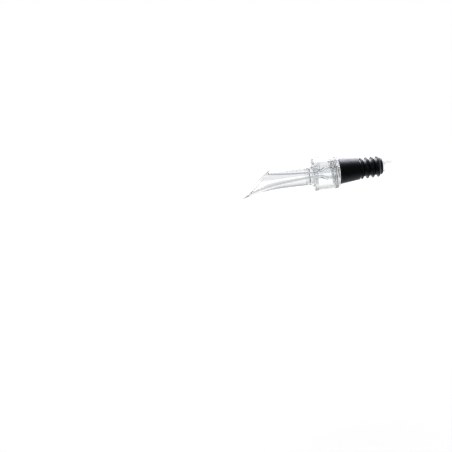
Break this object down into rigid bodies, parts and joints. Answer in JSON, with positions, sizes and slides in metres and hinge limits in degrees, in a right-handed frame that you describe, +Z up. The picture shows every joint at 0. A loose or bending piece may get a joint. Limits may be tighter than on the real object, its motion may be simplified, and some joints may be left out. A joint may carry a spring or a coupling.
{
  "type": "wine aerator pourer",
  "caption": "Clear acrylic pourer with an oblique flared mouth, an air chamber and a venturi, held in a bottle's neck by a finned black rubber stopper.",
  "frame": {"origin": "On the pourer's axis, where the stopper enters the bottle's neck.", "axes": "+X runs along the axis into the bottle, and the mouth is towards -X. +Z is up while pouring, so the long lip hangs towards -Z and the air holes face +Z."},
  "size_m": [0.1381, 0.03, 0.03],
  "materials": {
    "clear_acrylic": "clear, polished, faintly cool at the edges",
    "clear_silicone": "translucent, matt",
    "black_rubber": "satin black"
  },
  "bodies": {
    "stopper": {"stopper": "black_rubber"},
    "pourer": {"spout": "clear_acrylic", "chamber_shell": "clear_acrylic", "chamber_base": "clear_acrylic", "venturi_nozzle": "clear_acrylic", "air_inlet_tube": "clear_acrylic", "vent_tube": "clear_acrylic", "base_gasket": "clear_silicone"}
  },
  "joints": [
    {"name": "pourer_swivel", "type": "hinge", "parent": "stopper", "child": "pourer", "pos_m": [0, 0, 0], "axis": [1, 0, 0], "continuous": true}
  ]
}
